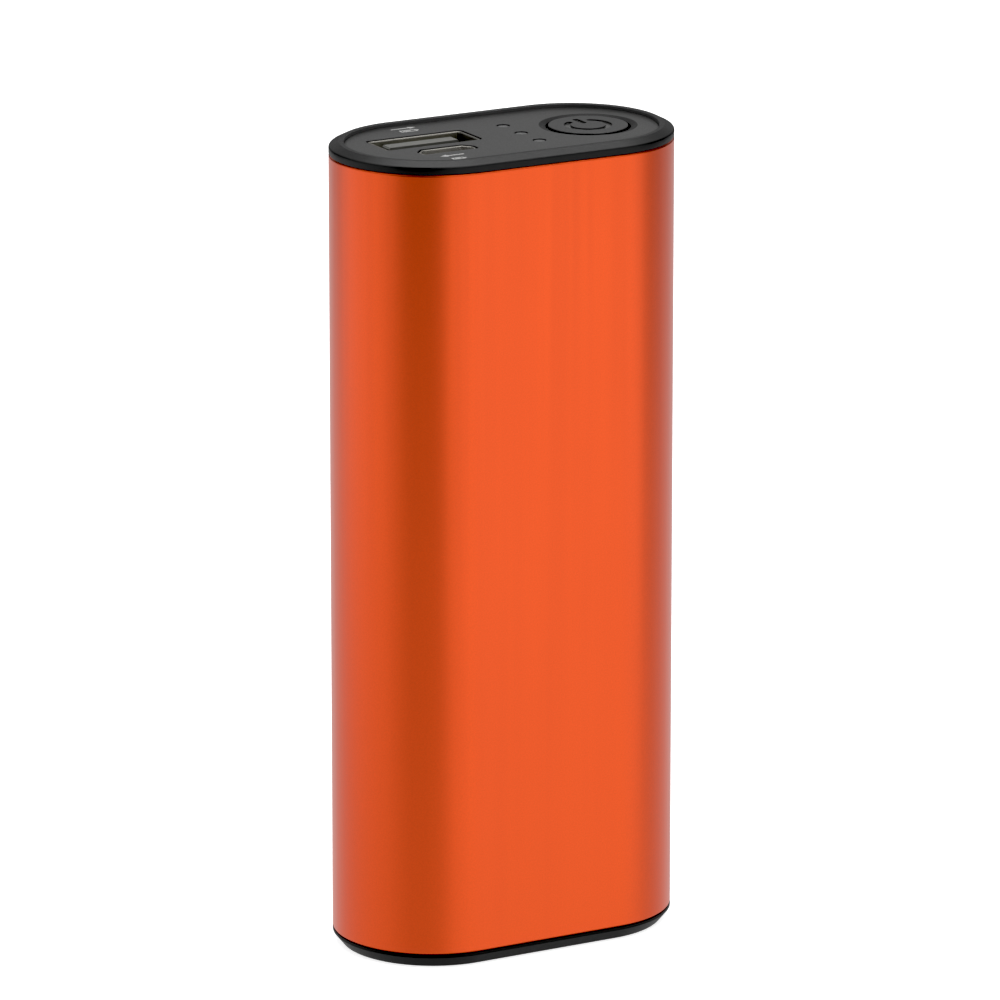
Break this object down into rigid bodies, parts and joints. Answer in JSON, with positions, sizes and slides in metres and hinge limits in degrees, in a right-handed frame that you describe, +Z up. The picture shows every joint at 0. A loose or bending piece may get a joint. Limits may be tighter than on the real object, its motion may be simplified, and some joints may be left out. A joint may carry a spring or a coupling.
{
  "type": "rechargeable hand warmer",
  "caption": "Pocket hand warmer: obround orange aluminium tube between black end caps, with a power button, charge lamps and USB sockets on top.",
  "frame": {"origin": "centre of the foot, on the surface it stands on", "axes": "+Z up out of the sockets, -Y the front face, +X towards the power button"},
  "size_m": [0.0452, 0.0254, 0.103],
  "materials": {
    "anodised_orange": "satin",
    "cap_black": "satin",
    "plate_grey": "satin",
    "button_grey": "satin",
    "foot_black": "matte",
    "clear_lens": "gloss",
    "socket_steel": "satin",
    "socket_black": "satin",
    "contact_gold": "polished",
    "board_green": "satin",
    "chip_black": "matte",
    "plunger_black": "satin",
    "spring_steel": "satin",
    "led_white": "gloss",
    "ferrite_grey": "matte",
    "capacitor_tan": "satin",
    "carrier_white": "satin",
    "cell_can": "satin",
    "sleeve_blue": "gloss",
    "card_white": "matte",
    "nickel": "satin",
    "lead_red": "satin",
    "lead_black": "satin",
    "lead_grey": "satin",
    "film_amber": "gloss",
    "foam_grey": "matte",
    "screw_steel": "satin"
  },
  "bodies": {
    "root": {"outer_tube": "anodised_orange", "top_cap": "cap_black", "bottom_cap": "cap_black", "face_plate": "plate_grey", "bottom_plate": "foot_black", "light_guide": "clear_lens", "usb_a_shell": "socket_steel", "micro_usb_shell": "socket_steel", "usb_a_insulator": "socket_black", "micro_usb_insulator": "socket_black", "usb_a_contacts": "contact_gold", "micro_usb_contacts": "contact_gold", "board_link_pins": "contact_gold", "main_board": "board_green", "button_board": "board_green", "switch_body": "chip_black", "control_chips": "chip_black", "switch_cover": "spring_steel", "switch_terminals": "spring_steel", "switch_dome": "spring_steel", "indicator_leds": "led_white", "power_inductor": "ferrite_grey", "ceramic_capacitors": "capacitor_tan", "front_carrier": "carrier_white", "rear_carrier": "carrier_white", "cell_left": "cell_can", "cell_right": "cell_can", "cell_sleeves": "sleeve_blue", "cell_insulators": "card_white", "top_plate_adhesive": "card_white", "bottom_plate_adhesive": "card_white", "top_nickel_strip": "nickel", "bottom_nickel_strip": "nickel", "battery_lead_red": "lead_red", "battery_lead_black": "lead_black", "thermistor": "lead_black", "heater_leads": "lead_grey", "front_heater": "film_amber", "rear_heater": "film_amber", "front_foam_pad": "foam_grey", "rear_foam_pad": "foam_grey", "top_screws": "screw_steel", "bottom_screws": "screw_steel", "board_screws": "screw_steel", "button_board_screws": "screw_steel"},
    "button": {"power_button": "button_grey"},
    "plunger": {"switch_plunger": "plunger_black"}
  },
  "joints": [
    {"name": "power_button_press", "type": "slide", "parent": "root", "child": "button", "axis": [0, 0, -1], "range_m": [0, 0.00035], "stiffness_N_per_m": 2500, "springref_m": -0.0002},
    {"name": "switch_plunger_press", "type": "slide", "parent": "root", "child": "plunger", "axis": [0, 0, -1], "range_m": [0, 0.00035], "deforming": ["switch_dome"]}
  ],
  "couplings": [
    {"joint": "switch_plunger_press", "follows": "power_button_press", "ratio": 1}
  ]
}
